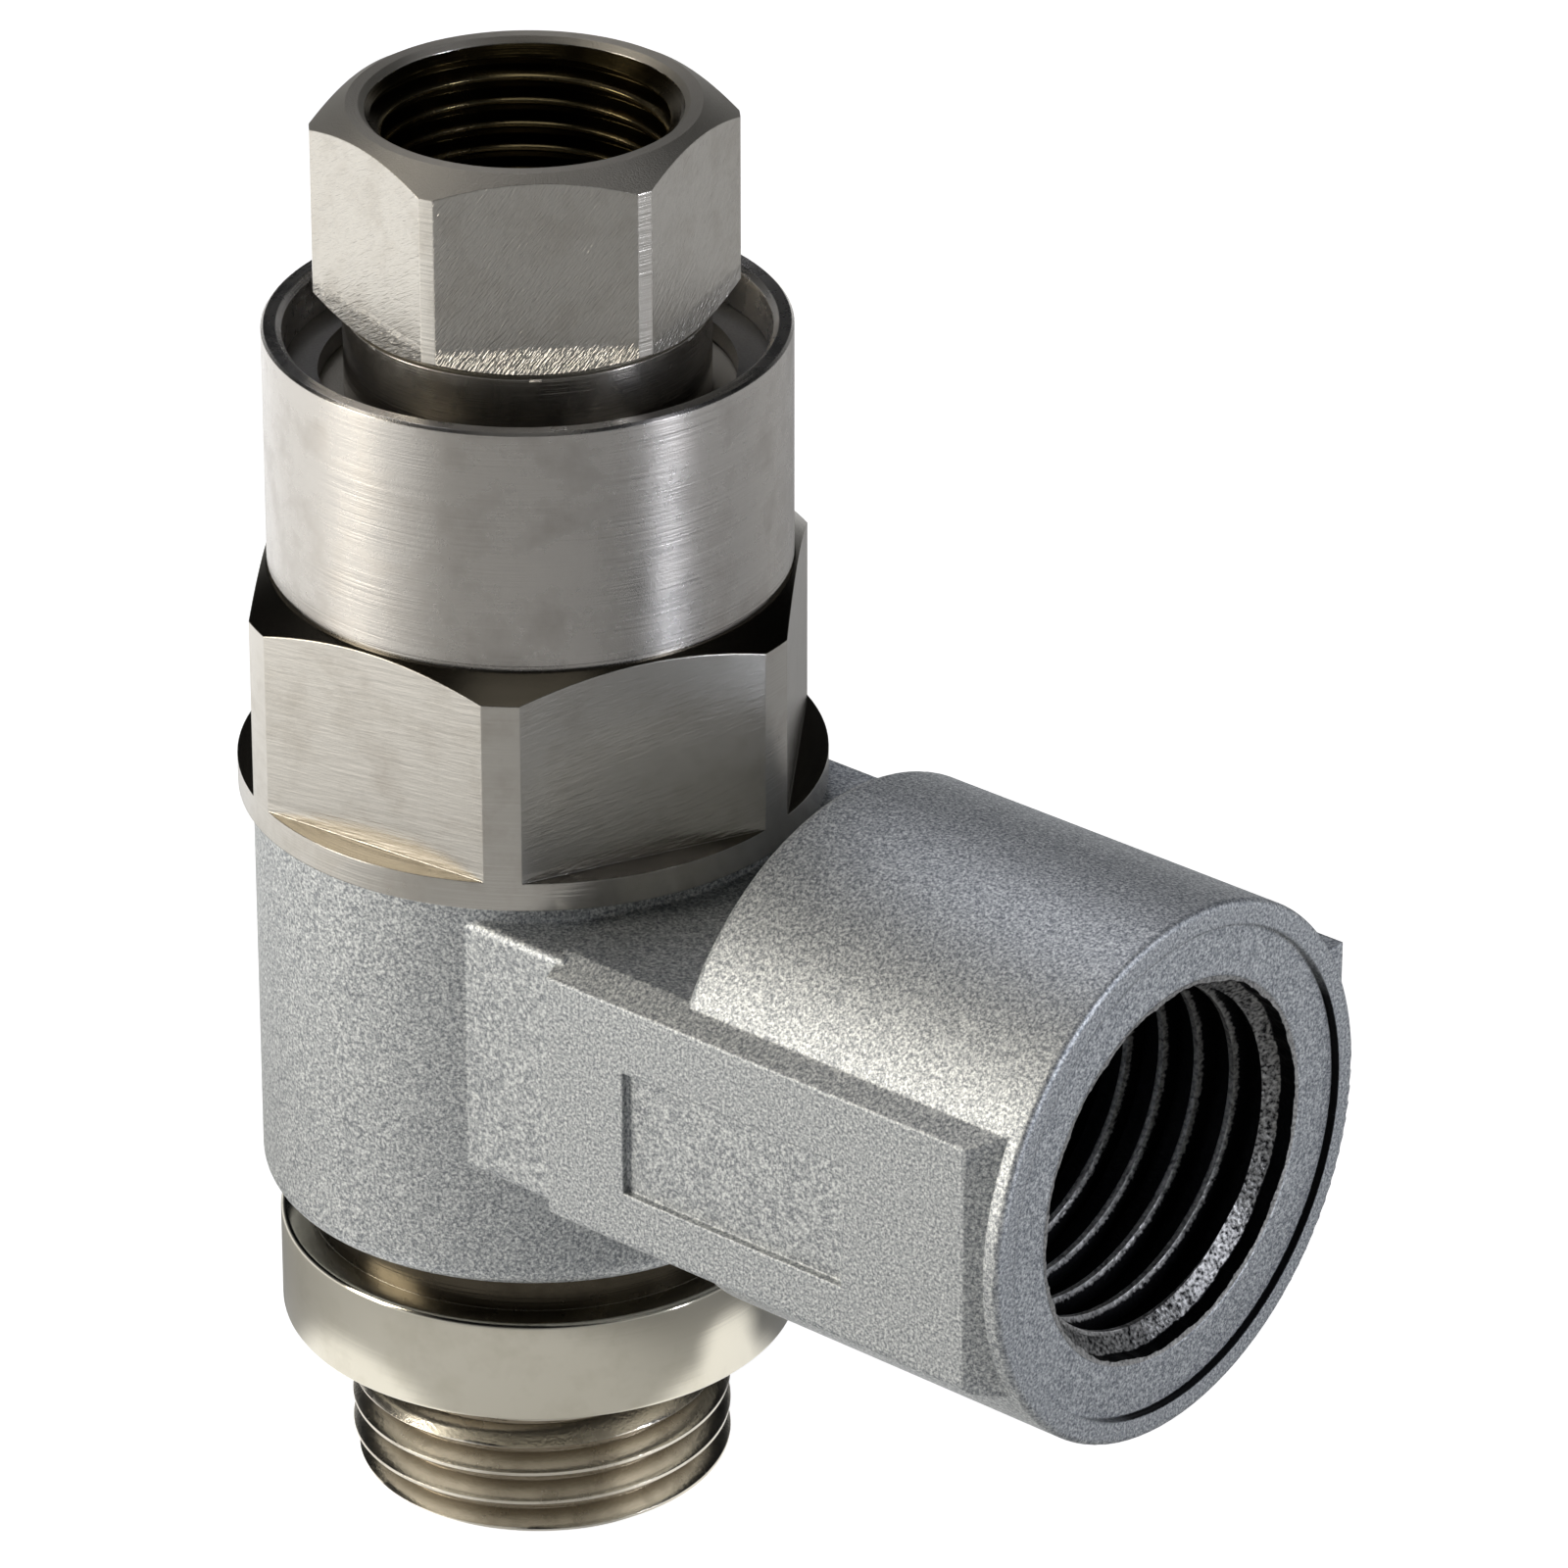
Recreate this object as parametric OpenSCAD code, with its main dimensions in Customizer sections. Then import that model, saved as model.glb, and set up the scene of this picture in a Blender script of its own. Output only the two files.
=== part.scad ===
// Pilot-operated blocking fitting with a swivel banjo.
// The origin is the centre of the collar's seating face; +Z runs up the stem and +X out along the side port.

/* [Male thread and collar] */
// Outside diameter of the parallel pipe thread that screws into the cylinder
male_thread_d = 20.955; // [20.5:0.005:21.6]
// How far the thread's end lies below the seating face
male_thread_len = 9.5; // [9.2:0.1:12]
// Length of the smooth relief between the seating face and the thread
relief_len = 3; // [2.5:0.1:4.5]
// Diameter of the relief
relief_d = 18.6; // [18:0.1:19.4]
// Chamfer on the thread's end
thread_chamfer = 0.35; // [0.25:0.05:1.2]
// Diameter of the collar that seats on the port's face
collar_d = 28.4; // [27.8:0.1:30]
// Height of the collar
collar_h = 6; // [5.4:0.1:7.4]
// Diameter of the recess for the face seal under the collar
face_recess_d = 24.8; // [24.2:0.1:25.4]
// Rounding of the collar's lower edge
collar_round = 0.25; // [0.2:0.05:1]
// Diameter of the hub that carries the eye
hub_d = 25.2; // [24.8:0.1:27]
// Height of the hub above the collar
hub_h = 2.5; // [1.8:0.1:4]
// Diameter of the socket that takes the upper body's shank
socket_d = 18.4; // [17.8:0.1:19.4]
// Diameter of the chamber that holds the poppet
chamber_d = 15.2; // [14.8:0.1:15.6]

/* [Upper body] */
// Width across the flats of the large hex
large_hex_af = 28.4; // [28.2:0.1:29.4]
// Height of the large hex above its flange
large_hex_h = 11.4; // [10.5:0.1:14]
// Turn of the large hex about the stem, in degrees from the side port
large_hex_turn = 5.7; // [0:0.1:60]
// Diameter of the round bar that the large hex is milled from
flange_d = 31.7; // [31.2:0.1:32.6]
// Height of the round flange under the large hex
flange_h = 1.6; // [1:0.1:3]
// Diameter of the two lands that the eye turns on
land_d = 23.8; // [23.4:0.1:24.2]
// Diameter of the waist between the lands
waist_d = 19.6; // [18.6:0.1:20.6]
// Height of each land
land_h = 6; // [5:0.1:6.6]
// Diameter of the flow chamber inside the waist
flow_bore_d = 14; // [12:0.1:15]
// Diameter of the seat's opening
seat_d = 10; // [9:0.1:10.6]
// Height of the seat's opening, up to the flow chamber
seat_bore_h = 9.4; // [7:0.1:10]
// Height of the flow chamber
flow_chamber_h = 15; // [13:0.1:15.4]
// Diameter of each cross hole in the waist
cross_hole_d = 5.8; // [4:0.1:6.4]
// Number of cross holes
cross_holes = 4; // [3:1:6]
// Diameter of the pilot cylinder's bore
pilot_bore_d = 20; // [19:0.1:21]
// Height of the spigot that carries the sleeve
spigot_h = 3.5; // [3:0.1:5]

/* [Banjo] */
// Outside diameter of the eye
eye_d = 30.1; // [29:0.1:31]
// Height of the eye
eye_h = 23.45; // [22:0.05:26]
// Rounding of the eye's lower edge
eye_round = 1.3; // [0.5:0.1:1.6]
// Diameter of the flow gallery inside the eye
gallery_d = 26; // [25:0.1:27]
// Width of the arm's web
web_w = 26.7; // [25:0.1:27.4]
// Height of the web
web_h = 15; // [12:0.1:17]
// Width across the two side panels
panel_w = 28.2; // [27.8:0.1:28.9]
// Height of a side panel
panel_h = 14.3; // [11:0.1:15.2]
// Width of the flat shelf between the sloped shoulders of the two panels
shelf_w = 25.2; // [22:0.1:27]
// Distance from the stem's axis to the panels' near end
panel_start = 13.3; // [12:0.1:16]
// Length of the bevel that ends each panel behind the port's rim
bevel_len = 1.9; // [1:0.1:4]
// Depth of that bevel
bevel_depth = 1.3; // [0.6:0.1:2]
// Height of the ear at the far panel's upper corner
ear_h = 3; // [2:0.1:5]
// Distance from the ear to the port's face
ear_setback = 0.4; // [0.3:0.1:0.9]
// Diameter of the port's boss
boss_d = 29.75; // [29.2:0.05:31]
// Length of the port's boss
boss_len = 22.5; // [19:0.1:26]
// Width of the round rim at the boss's mouth, in front of the panels
rim_w = 0.95; // [0.9:0.05:2]
// Wall left round the spot face in the rim
rim_wall = 1.375; // [1:0.025:2.4]
// Depth of the spot face
spot_face_depth = 0.4; // [0.2:0.05:0.6]
// Distance from the stem's axis to the rim's face
port_reach = 44.2; // [42:0.1:48]
// Height of the port's axis above the seating face
port_height = 23.6; // [22.6:0.1:25.6]
// Distance from the port's axis down to the web's underside
web_drop = 7.6; // [6:0.1:9]
// Distance from the port's axis down to the panels' lower edge
panel_drop = 7.8; // [6:0.1:9]
// Distance from the port's axis up to the arm's shelf
shelf_rise = 7.6; // [6:0.1:9]
// Distance from the port's axis down to the passage's axis
passage_drop = 2.1; // [0:0.1:4]
// Depth of the bare recess in the near panel
recess_depth = 0.4; // [0.2:0.1:0.6]
// Length of the recess
recess_len = 14.8; // [8:0.1:18]
// Height of the recess
recess_h = 7.2; // [4:0.1:9]
// Distance from the port's axis down to the recess's middle
recess_drop = 0.9; // [0:0.1:2]
// Distance from the panels' near end to the recess
recess_setback = 5.2; // [3:0.1:8]

/* [Female ports] */
// Major diameter of the side port's thread
side_port_d = 20.955; // [20.5:0.005:21.6]
// Depth of the side port's thread
side_port_depth = 15; // [12:0.1:17]
// Major diameter of the pilot port's thread
pilot_port_d = 16.662; // [16.2:0.001:17]
// Depth of the pilot port's thread
pilot_port_depth = 11.6; // [9:0.1:12.6]

/* [Pilot sleeve and connector] */
// Outside diameter of the sleeve
sleeve_d = 28; // [27.6:0.1:28.2]
// Height of the sleeve
sleeve_h = 13.7; // [12.6:0.1:16]
// Wall of the sleeve
sleeve_wall = 1.1; // [1:0.05:1.3]
// Width across the flats of the small hex
small_hex_af = 19.8; // [19.4:0.1:21]
// Diameter of the bar that the small hex is milled from
small_hex_bar_d = 22.4; // [22:0.1:23]
// Height of the small hex
small_hex_h = 11.4; // [10:0.1:14]
// Turn of the small hex about the stem, in degrees from the side port
small_hex_turn = -15.35; // [-60:0.05:60]
// Diameter of the round neck under the small hex
neck_d = 19.4; // [18.8:0.1:19.8]
// Height of the small hex above the sleeve's mouth
hex_lift = 1.05; // [0.6:0.05:3]
// Height of the connector's head inside the sleeve
head_h = 6.2; // [5.6:0.1:6.6]
// Diameter of the pilot hole
pilot_hole_d = 5; // [3:0.1:6]

/* [Pilot piston and valve] */
// Stroke of the piston and of the poppet
stroke = 3; // [2:0.1:3.2]
// Height of the piston
piston_h = 5.5; // [5:0.1:6]
// Diameter of the piston's rod
rod_d = 5; // [4:0.1:5.6]
// Diameter of the rod's thread through the piston
rod_thread_d = 4; // [3:0.1:4]
// Diameter of the poppet's disc
poppet_d = 13.6; // [13.2:0.1:14]
// Diameter of the poppet's guide stem
guide_d = 3.6; // [3:0.1:4]
// Wire of the piston's spring
piston_wire = 0.9; // [0.7:0.05:1.1]
// Wire of the poppet's spring
poppet_wire = 0.6; // [0.4:0.05:0.7]

/* [Hidden] */
$fn = 96;

// Clearances and small features that go with the way each joint is made
running_gap = 0.05;
end_play = 0.1;
face_gap = 0.3;
screwed_gap = 0.01;
seal_gap = 0.04;
seat_gap = 0.02;
edge_break = 0.3;
overcut = 1;
hex_chamfer_angle = 30;

// Heights of the faces up the stem
z_thread_end = -male_thread_len;
z_hub = collar_h + hub_h;
z_eye = z_hub + end_play;
z_eye_top = z_eye + eye_h;
z_flange = z_eye_top + end_play;
z_large_hex = z_flange + flange_h;
z_spigot = z_large_hex + large_hex_h;
z_spigot_top = z_spigot + spigot_h;
z_mouth = z_spigot + sleeve_h;
z_small_hex = z_mouth + hex_lift;
z_top = z_small_hex + small_hex_h;

// The seat is the shank's end face, screwed down on the socket's shoulder
socket_depth = 5.2;
z_seat = z_hub - socket_depth;

// O-ring grooves: each ring fills its groove's depth and stands just clear of the wall it seals on
land_r = land_d / 2;
land_seal_d = 1.6;
land_groove_r = land_r - land_seal_d;
z_lower_seal = z_hub + land_h / 2 + 0.2;
z_upper_seal = z_flange - land_h / 2 - 0.05;
face_seal_d = 1.5;
stem_seal_d = 1;
z_stem_seal = z_hub - 0.85;
sleeve_in_r = sleeve_d / 2 - sleeve_wall;
spigot_r = sleeve_in_r - screwed_gap;
sleeve_seal_d = 1.18;
z_sleeve_seal = z_spigot + spigot_h / 2;
head_r = sleeve_in_r - running_gap;
connector_seal_d = 1.55;
piston_r = pilot_bore_d / 2 - running_gap;
piston_seal_d = 1.35;

// The connector turns between the spigot and the circlip
circlip_t = 1.1;
circlip_groove = 0.55;
z_head = z_spigot_top + 0.2;
z_head_top = z_head + head_h;
z_circlip = z_head_top + end_play;
z_connector_seal = z_head + head_h / 2;
z_pilot_floor = z_top - pilot_port_depth;
nut_room_h = 3;
nut_room_r = head_r - connector_seal_d - 3;

// The web of metal between the pilot cylinder and the flow chamber holds the rod's gland
gland_floor = 4.2;
rod_seal_d = 1.95;
gland_r = rod_d / 2 + rod_seal_d + running_gap;
gland_washer_t = 1.03;
z_flow_floor = z_seat + seat_bore_h;
z_flow_top = z_flow_floor + flow_chamber_h;
z_gland = z_flow_top + gland_floor;
z_gland_washer = z_gland + rod_seal_d + seat_gap;
z_cylinder_floor = z_gland_washer + gland_washer_t;
z_piston_top = z_spigot_top - 0.55;
z_piston = z_piston_top - piston_h;
z_rod_tip = z_seat + 3.2;
cup_w = 2.9;
cup_r = (rod_d + pilot_bore_d) / 4 + 0.6;
cup_depth = 1.5;

// The poppet and what holds its spring
nose_r = 3;
lip_w = 0.5;
seal_t = 1.1;
nose_h = 2.9;
poppet_h = 3.1;
z_poppet = z_seat - poppet_h;
retainer_t = 1.4;
retainer_clip_t = 0.8;
z_clip = z_thread_end + 0.7;
z_retainer = z_clip + retainer_clip_t + seat_gap;
retainer_hub_r = guide_d / 2 + 1.15;
retainer_hub_h = 1.8;
guide_len = z_poppet - z_retainer - stroke + 0.8;
clip_groove = 0.6;

// The arm
z_web = port_height - web_drop;
z_panel = port_height - panel_drop;
z_shelf = port_height + shelf_rise;
spot_face_d = boss_d - 2 * rim_wall;
rim_start = port_reach - rim_w;
boss_start = port_reach - boss_len;
passage_r = 4.4;
passage_z = port_height - passage_drop;
recess_start = panel_start + recess_setback;

module at_z(z) { translate([0, 0, z]) children(); }

// A disc or tube about the stem's axis
module turned(r, z0, z1) { at_z(z0) cylinder(r = r, h = z1 - z0); }

module ring_profile(r_in, r_out, z0, z1) {
    translate([r_in, z0]) square([r_out - r_in, z1 - z0]);
}

module tube(r_in, r_out, z0, z1) { rotate_extrude() ring_profile(r_in, r_out, z0, z1); }

// An O-ring of cord diameter d that lies with its inside on radius r
module o_ring(r, d, z) {
    color("#26262a") at_z(z) rotate_extrude() translate([r + d / 2, 0]) circle(d = d);
}

// A hexagon milled on a round bar, its corners turned down and both ends chamfered where asked
module turned_hex(af, bar_d, z0, z1, turn, top_r, low_chamfer) {
    top_drop = (bar_d / 2 - top_r) * tan(hex_chamfer_angle);
    low_rise = low_chamfer ? (bar_d / 2 - top_r) * tan(hex_chamfer_angle) : 0;
    low_r = low_chamfer ? top_r : bar_d / 2;
    intersection() {
        at_z(z0) rotate([0, 0, turn]) cylinder(r = af / 2 / cos(30), h = z1 - z0, $fn = 6);
        rotate_extrude() polygon([
            [0, z0],
            [low_r, z0],
            [bar_d / 2, z0 + low_rise],
            [bar_d / 2, z1 - top_drop],
            [top_r, z1],
            [0, z1]
        ]);
    }
}

// A rectangle with round corners, from the lower left corner
module round_rect(w, h, r) {
    translate([r, 0]) square([w - 2 * r, h]);
    translate([0, r]) square([w, h - 2 * r]);
    for (x = [r, w - r], y = [r, h - r]) translate([x, y]) circle(r = r, $fn = 48);
}

// A flat ring that springs into a groove: open on one side, with a lug and a plier hole at each end
module snap_ring(r_in, r_out, lug_r, hole_r, gap_angle, thickness) {
    lug_angle = gap_angle / 2 + asin(lug_r / (r_out - lug_r));
    difference() {
        linear_extrude(thickness) {
            difference() {
                circle(r = r_out);
                circle(r = r_in);
                polygon([
                    [0, 0],
                    2 * r_out * [cos(gap_angle / 2), sin(gap_angle / 2)],
                    2 * r_out * [1 / cos(gap_angle / 2), 0],
                    2 * r_out * [cos(gap_angle / 2), -sin(gap_angle / 2)]
                ]);
            }
            for (side = [-1, 1]) rotate(side * lug_angle) translate([r_out - lug_r, 0]) circle(r = lug_r);
        }
        for (side = [-1, 1]) rotate([0, 0, side * lug_angle]) translate([r_out - lug_r, 0, -overcut])
            cylinder(r = hole_r, h = thickness + 2 * overcut);
    }
}

// Points of one wire ring: a circle round the helix, square to its centre line
function wire_ring(c, angle, wire_r, sides) = [
    for (i = [0 : sides - 1]) let (a = 360 * i / sides)
        [
            (c[0] + wire_r * cos(a)) * cos(angle),
            (c[0] + wire_r * cos(a)) * sin(angle),
            c[1] + wire_r * sin(a)
        ]
];

// A compression spring with one closed turn at each end
module coil_spring(mean_r, wire, z0, z1, turns) {
    sides = 8;
    steps = 20;
    rings = turns * steps;
    closed_rise = wire * 1.04;
    open_rise = (z1 - z0 - wire - 2 * closed_rise) / (turns - 2);
    function lift(t) = t < 1 ? t * closed_rise
        : t < turns - 1 ? closed_rise + (t - 1) * open_rise
        : closed_rise + (turns - 2) * open_rise + (t - turns + 1) * closed_rise;
    points = [
        for (k = [0 : rings]) each
            wire_ring([mean_r, z0 + wire / 2 + lift(k / steps)], 360 * k / steps, wire / 2, sides)
    ];
    sidewalls = [
        for (k = [0 : rings - 1], i = [0 : sides - 1]) let (j = (i + 1) % sides)
            [k * sides + i, k * sides + j, (k + 1) * sides + j, (k + 1) * sides + i]
    ];
    start_cap = [for (i = [0 : sides - 1]) sides - 1 - i];
    end_cap = [for (i = [0 : sides - 1]) rings * sides + i];
    polyhedron(points = points, faces = concat([start_cap], sidewalls, [end_cap]), convexity = 8);
}

// The collar, hub and male thread are one turned piece; the thread is its plain outside diameter
module threaded_stem() {
    thread_r = male_thread_d / 2;
    color("#c4c0b4") difference() {
        rotate_extrude() {
            polygon([
                [0, z_thread_end],
                [thread_r - thread_chamfer, z_thread_end],
                [thread_r, z_thread_end + thread_chamfer],
                [thread_r, -relief_len],
                [relief_d / 2, -relief_len + (thread_r - relief_d / 2)],
                [relief_d / 2, face_seal_d + seal_gap],
                [face_recess_d / 2, face_seal_d + seal_gap],
                [face_recess_d / 2, 0],
                [collar_d / 2 - collar_round, 0],
                [collar_d / 2 - collar_round, collar_round],
                [collar_d / 2, collar_round],
                [collar_d / 2, collar_h - edge_break],
                [collar_d / 2 - edge_break, collar_h],
                [hub_d / 2, collar_h],
                [hub_d / 2, z_hub],
                [0, z_hub]
            ]);
            translate([collar_d / 2 - collar_round, collar_round]) circle(r = collar_round, $fn = 48);
        }
        turned(chamber_d / 2, z_thread_end - overcut, z_seat);
        turned(socket_d / 2, z_seat, z_hub + overcut);
        turned(chamber_d / 2 + clip_groove, z_clip, z_clip + retainer_clip_t);
    }
}

module hex_body() {
    color("#8f8b80") difference() {
        union() {
            turned(socket_d / 2 - screwed_gap, z_seat, z_hub);
            turned(land_r, z_hub, z_hub + land_h);
            turned(waist_d / 2, z_hub + land_h, z_flange - land_h);
            turned(land_r, z_flange - land_h, z_flange);
            turned(flange_d / 2, z_flange, z_large_hex);
            turned_hex(large_hex_af, flange_d, z_large_hex, z_spigot, large_hex_turn,
                large_hex_af / 2 - edge_break / 2, false);
            turned(spigot_r, z_spigot, z_spigot_top);
        }
        turned(seat_d / 2, z_seat - overcut, z_flow_floor);
        turned(flow_bore_d / 2, z_flow_floor, z_flow_top);
        turned(rod_d / 2 + running_gap, z_flow_top - overcut, z_gland);
        turned(gland_r, z_gland, z_cylinder_floor);
        turned(pilot_bore_d / 2, z_cylinder_floor, z_spigot_top + overcut);
        for (i = [0 : cross_holes - 1]) at_z((z_flow_floor + z_flow_top) / 2)
            rotate([0, 90, 45 + 360 / cross_holes * i]) cylinder(d = cross_hole_d, h = land_d);
        for (z = [z_lower_seal, z_upper_seal])
            tube(land_groove_r, land_r + overcut, z - land_seal_d / 2 - edge_break,
                z + land_seal_d / 2 + edge_break);
        tube(spigot_r - sleeve_seal_d, spigot_r + overcut, z_sleeve_seal - sleeve_seal_d / 2 - seal_gap,
            z_sleeve_seal + sleeve_seal_d / 2 + seal_gap);
        tube(socket_d / 2 - stem_seal_d, socket_d / 2 + overcut, z_stem_seal - stem_seal_d / 2 - seal_gap,
            z_stem_seal + stem_seal_d / 2 + seal_gap);
    }
}

// The arm's section between its two side panels, with sloped shoulders
module arm_section() {
    low_r = 0.5;
    side = panel_w / 2;
    shoulder = shelf_w / 2;
    z_side = z_panel + panel_h;
    polygon([
        [-side + low_r, z_panel],
        [side - low_r, z_panel],
        [side - low_r, z_panel + low_r],
        [side, z_panel + low_r],
        [side, z_side],
        [shoulder, z_shelf],
        [-shoulder, z_shelf],
        [-side, z_side],
        [-side, z_panel + low_r],
        [-side + low_r, z_panel + low_r]
    ]);
    for (y = [-side + low_r, side - low_r]) translate([y, z_panel + low_r]) circle(r = low_r, $fn = 48);
}

// The arm's plan: both panels end in a bevel behind the rim
module arm_plan() {
    side = panel_w / 2;
    polygon([
        [panel_start, -side],
        [rim_start - bevel_len, -side],
        [rim_start, -side + bevel_depth],
        [rim_start, side - bevel_depth],
        [rim_start - bevel_len, side],
        [panel_start, side]
    ]);
}

// The panels cut the boss flat on both sides, as far as its rim
module arm() {
    rear_r = 0.6;
    intersection() {
        union() {
            translate([panel_start, 0, 0]) rotate([90, 0, 90]) linear_extrude(rim_start - panel_start)
                arm_section();
            translate([boss_start, 0, port_height]) rotate([0, 90, 0]) rotate_extrude() {
                square([boss_d / 2 - rear_r, boss_len - rim_w]);
                translate([0, rear_r]) square([boss_d / 2, boss_len - rim_w - rear_r]);
                translate([boss_d / 2 - rear_r, rear_r]) circle(r = rear_r, $fn = 48);
            }
        }
        at_z(port_height - boss_d) linear_extrude(2 * boss_d) arm_plan();
    }
}

// The far panel's upper corner runs on beside the rim
module ear() {
    ear_w = 2.4;
    ear_start = rim_start - bevel_len - ear_h;
    translate([ear_start, panel_w / 2 - ear_w, z_shelf - ear_h])
        cube([port_reach - ear_setback - ear_start, ear_w, ear_h]);
}

// The rim has its root inside the arm, so that the two are one at every size
module rim() {
    front_r = 0.35;
    root_len = 1;
    root_r = min(boss_d / 2, panel_w / 2 - bevel_depth) - edge_break;
    translate([rim_start - root_len, 0, port_height]) rotate([0, 90, 0])
        cylinder(r = root_r, h = root_len + rim_w / 2);
    translate([rim_start, 0, port_height]) rotate([0, 90, 0]) rotate_extrude() {
        square([boss_d / 2 - front_r, rim_w]);
        square([boss_d / 2, rim_w - front_r]);
        translate([boss_d / 2 - front_r, rim_w - front_r]) circle(r = front_r, $fn = 48);
    }
}

module eye() {
    rotate_extrude() {
        translate([0, z_eye]) square([eye_d / 2 - eye_round, eye_h]);
        translate([0, z_eye + eye_round]) square([eye_d / 2, eye_h - eye_round]);
        translate([eye_d / 2 - eye_round, z_eye + eye_round]) circle(r = eye_round, $fn = 48);
    }
}

module web() {
    edge_r = 0.5;
    rotate([90, 0, 90]) linear_extrude(panel_start + edge_r)
        translate([-web_w / 2, z_web]) round_rect(web_w, web_h, edge_r);
}

// The port's holes from the rim inwards: spot face, countersink, thread, drill point, passage to the gallery
module port_bore() {
    sink = 0.2;
    thread_r = side_port_d / 2;
    drill_r = thread_r - 1.2;
    point_len = (drill_r - passage_r) / tan(59);
    translate([port_reach, 0, port_height]) rotate([0, -90, 0]) rotate_extrude() polygon([
        [0, -overcut],
        [spot_face_d / 2, -overcut],
        [spot_face_d / 2, spot_face_depth],
        [thread_r + sink, spot_face_depth],
        [thread_r, spot_face_depth + sink],
        [thread_r, side_port_depth],
        [drill_r, side_port_depth],
        [passage_r, side_port_depth + point_len],
        [0, side_port_depth + point_len]
    ]);
    translate([0, 0, passage_z]) rotate([0, 90, 0])
        cylinder(r = passage_r, h = port_reach - side_port_depth);
}

module banjo_body() {
    gallery_end = 0.5;
    color("#8d9194") difference() {
        union() {
            eye();
            web();
            arm();
            ear();
            rim();
        }
        turned(land_r + running_gap, z_eye - overcut, z_eye_top + overcut);
        turned(flange_d / 2 + seat_gap, z_eye_top + end_play / 2, z_large_hex + overcut);
        turned(gallery_d / 2, z_hub + land_h + gallery_end, z_flange - land_h - gallery_end);
        port_bore();
        translate([recess_start, -panel_w / 2 - overcut, port_height - recess_drop - recess_h / 2])
            cube([recess_len, recess_depth + overcut, recess_h]);
    }
}

module pilot_sleeve() {
    step = 0.35;
    color("#a5a198") difference() {
        rotate_extrude() polygon([
            [sleeve_in_r, z_spigot],
            [sleeve_d / 2 - step / 2, z_spigot],
            [sleeve_d / 2 - step / 2, z_spigot + step],
            [sleeve_d / 2, z_spigot + step],
            [sleeve_d / 2, z_mouth - edge_break / 2],
            [sleeve_d / 2 - edge_break / 2, z_mouth],
            [sleeve_in_r + edge_break, z_mouth],
            [sleeve_in_r, z_mouth - edge_break]
        ]);
        turned(sleeve_in_r + circlip_groove, z_circlip, z_circlip + circlip_t);
    }
}

module pilot_connector() {
    thread_r = pilot_port_d / 2;
    drill_r = thread_r - 0.9;
    sink = 0.3;
    hole_r = pilot_hole_d / 2;
    color("#c9c6bc") difference() {
        union() {
            turned(head_r, z_head, z_head_top);
            turned(neck_d / 2, z_head_top, z_small_hex);
            turned_hex(small_hex_af, small_hex_bar_d, z_small_hex, z_top, small_hex_turn,
                small_hex_af / 2 - edge_break * 2, true);
        }
        rotate_extrude() polygon([
            [0, z_head - overcut],
            [nut_room_r, z_head - overcut],
            [nut_room_r, z_head + nut_room_h],
            [hole_r, z_head + nut_room_h],
            [hole_r, z_pilot_floor - (drill_r - hole_r) / tan(59)],
            [drill_r, z_pilot_floor],
            [thread_r, z_pilot_floor],
            [thread_r, z_top - sink],
            [thread_r + sink + overcut, z_top + overcut],
            [0, z_top + overcut]
        ]);
        tube(head_r - connector_seal_d, head_r + overcut,
            z_connector_seal - connector_seal_d / 2 - edge_break,
            z_connector_seal + connector_seal_d / 2 + edge_break);
    }
}

module connector_circlip() {
    ring_w = 2.4;
    lug_r = 1.6;
    hole_r = 0.8;
    color("#77736b") at_z(z_circlip) rotate([0, 0, 150])
        snap_ring(sleeve_in_r + circlip_groove - ring_w, sleeve_in_r + circlip_groove - running_gap,
            lug_r, hole_r, 34, circlip_t - seat_gap);
}

module pilot_piston() {
    z_groove = z_piston + piston_h / 2 + 0.3;
    color("#b9a36a") difference() {
        rotate_extrude() polygon([
            [0, z_piston],
            [piston_r - edge_break, z_piston],
            [piston_r, z_piston + edge_break],
            [piston_r, z_piston_top - edge_break],
            [piston_r - edge_break, z_piston_top],
            [0, z_piston_top]
        ]);
        turned(rod_thread_d / 2 + screwed_gap, z_piston - overcut, z_piston_top + overcut);
        tube(cup_r - cup_w / 2, cup_r + cup_w / 2, z_piston - overcut, z_piston + cup_depth);
        tube(piston_r - piston_seal_d, piston_r + overcut, z_groove - piston_seal_d / 2 - edge_break / 2,
            z_groove + piston_seal_d / 2 + edge_break / 2);
    }
}

module piston_rod() {
    thread_above = 2.9;
    color("#c9cacc") rotate_extrude() polygon([
        [0, z_rod_tip],
        [rod_d / 2 - edge_break, z_rod_tip],
        [rod_d / 2, z_rod_tip + edge_break],
        [rod_d / 2, z_piston],
        [rod_thread_d / 2, z_piston],
        [rod_thread_d / 2, z_piston_top + thread_above - edge_break],
        [rod_thread_d / 2 - edge_break, z_piston_top + thread_above],
        [0, z_piston_top + thread_above]
    ]);
}

module piston_nut() {
    nut_af = 7;
    nut_h = 2.2;
    color("#c9cacc") difference() {
        turned_hex(nut_af, nut_af / cos(30) - edge_break, z_piston_top, z_piston_top + nut_h, 0,
            nut_af / 2, true);
        turned(rod_thread_d / 2 + screwed_gap, z_piston_top - overcut, z_piston_top + nut_h + overcut);
    }
}

module piston_spring() {
    color("#b4b6b8") coil_spring(cup_r, piston_wire, z_cylinder_floor + seat_gap,
        z_piston + cup_depth - seat_gap, 5);
}

module gland_washer() {
    color("#b9a36a") tube(rod_d / 2 + 2 * running_gap, gland_r - screwed_gap, z_gland_washer,
        z_cylinder_floor);
}

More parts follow.
